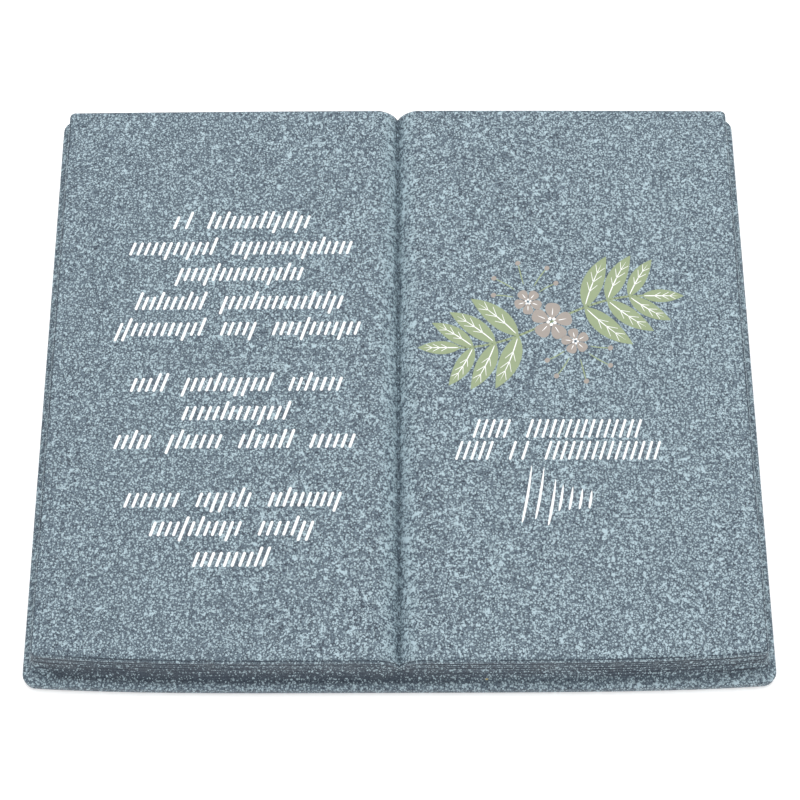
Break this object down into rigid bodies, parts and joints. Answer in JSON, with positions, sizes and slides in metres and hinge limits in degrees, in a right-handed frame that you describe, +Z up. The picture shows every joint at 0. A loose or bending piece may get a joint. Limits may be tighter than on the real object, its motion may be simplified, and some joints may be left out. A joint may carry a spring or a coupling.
{
  "type": "open book memorial plaque",
  "caption": "Memorial plaque cast as an open book: a cover board with a block of pages on it, parted by a valley, in speckled stone-effect resin. It lies flat on a grave, shelf or ledge.",
  "frame": {"origin": "centre of the flat underside, where the plaque rests", "axes": "+X across both pages to the reader's right, the longest extent; +Y from the reader to the head of the page; +Z up, out of the pages, the shortest extent"},
  "size_m": [0.25, 0.218, 0.0195],
  "materials": {
    "speckled_stone": "cast resin, slate grey, spattered with fine pale blue-grey flecks and sparse larger spots, satin to matt",
    "white_ink": "opaque white printing ink, matt",
    "sage_ink": "opaque sage green printing ink, matt",
    "taupe_ink": "opaque taupe printing ink, matt"
  },
  "bodies": {
    "root": {"open_book_plaque": "speckled_stone"}
  },
  "joints": []
}
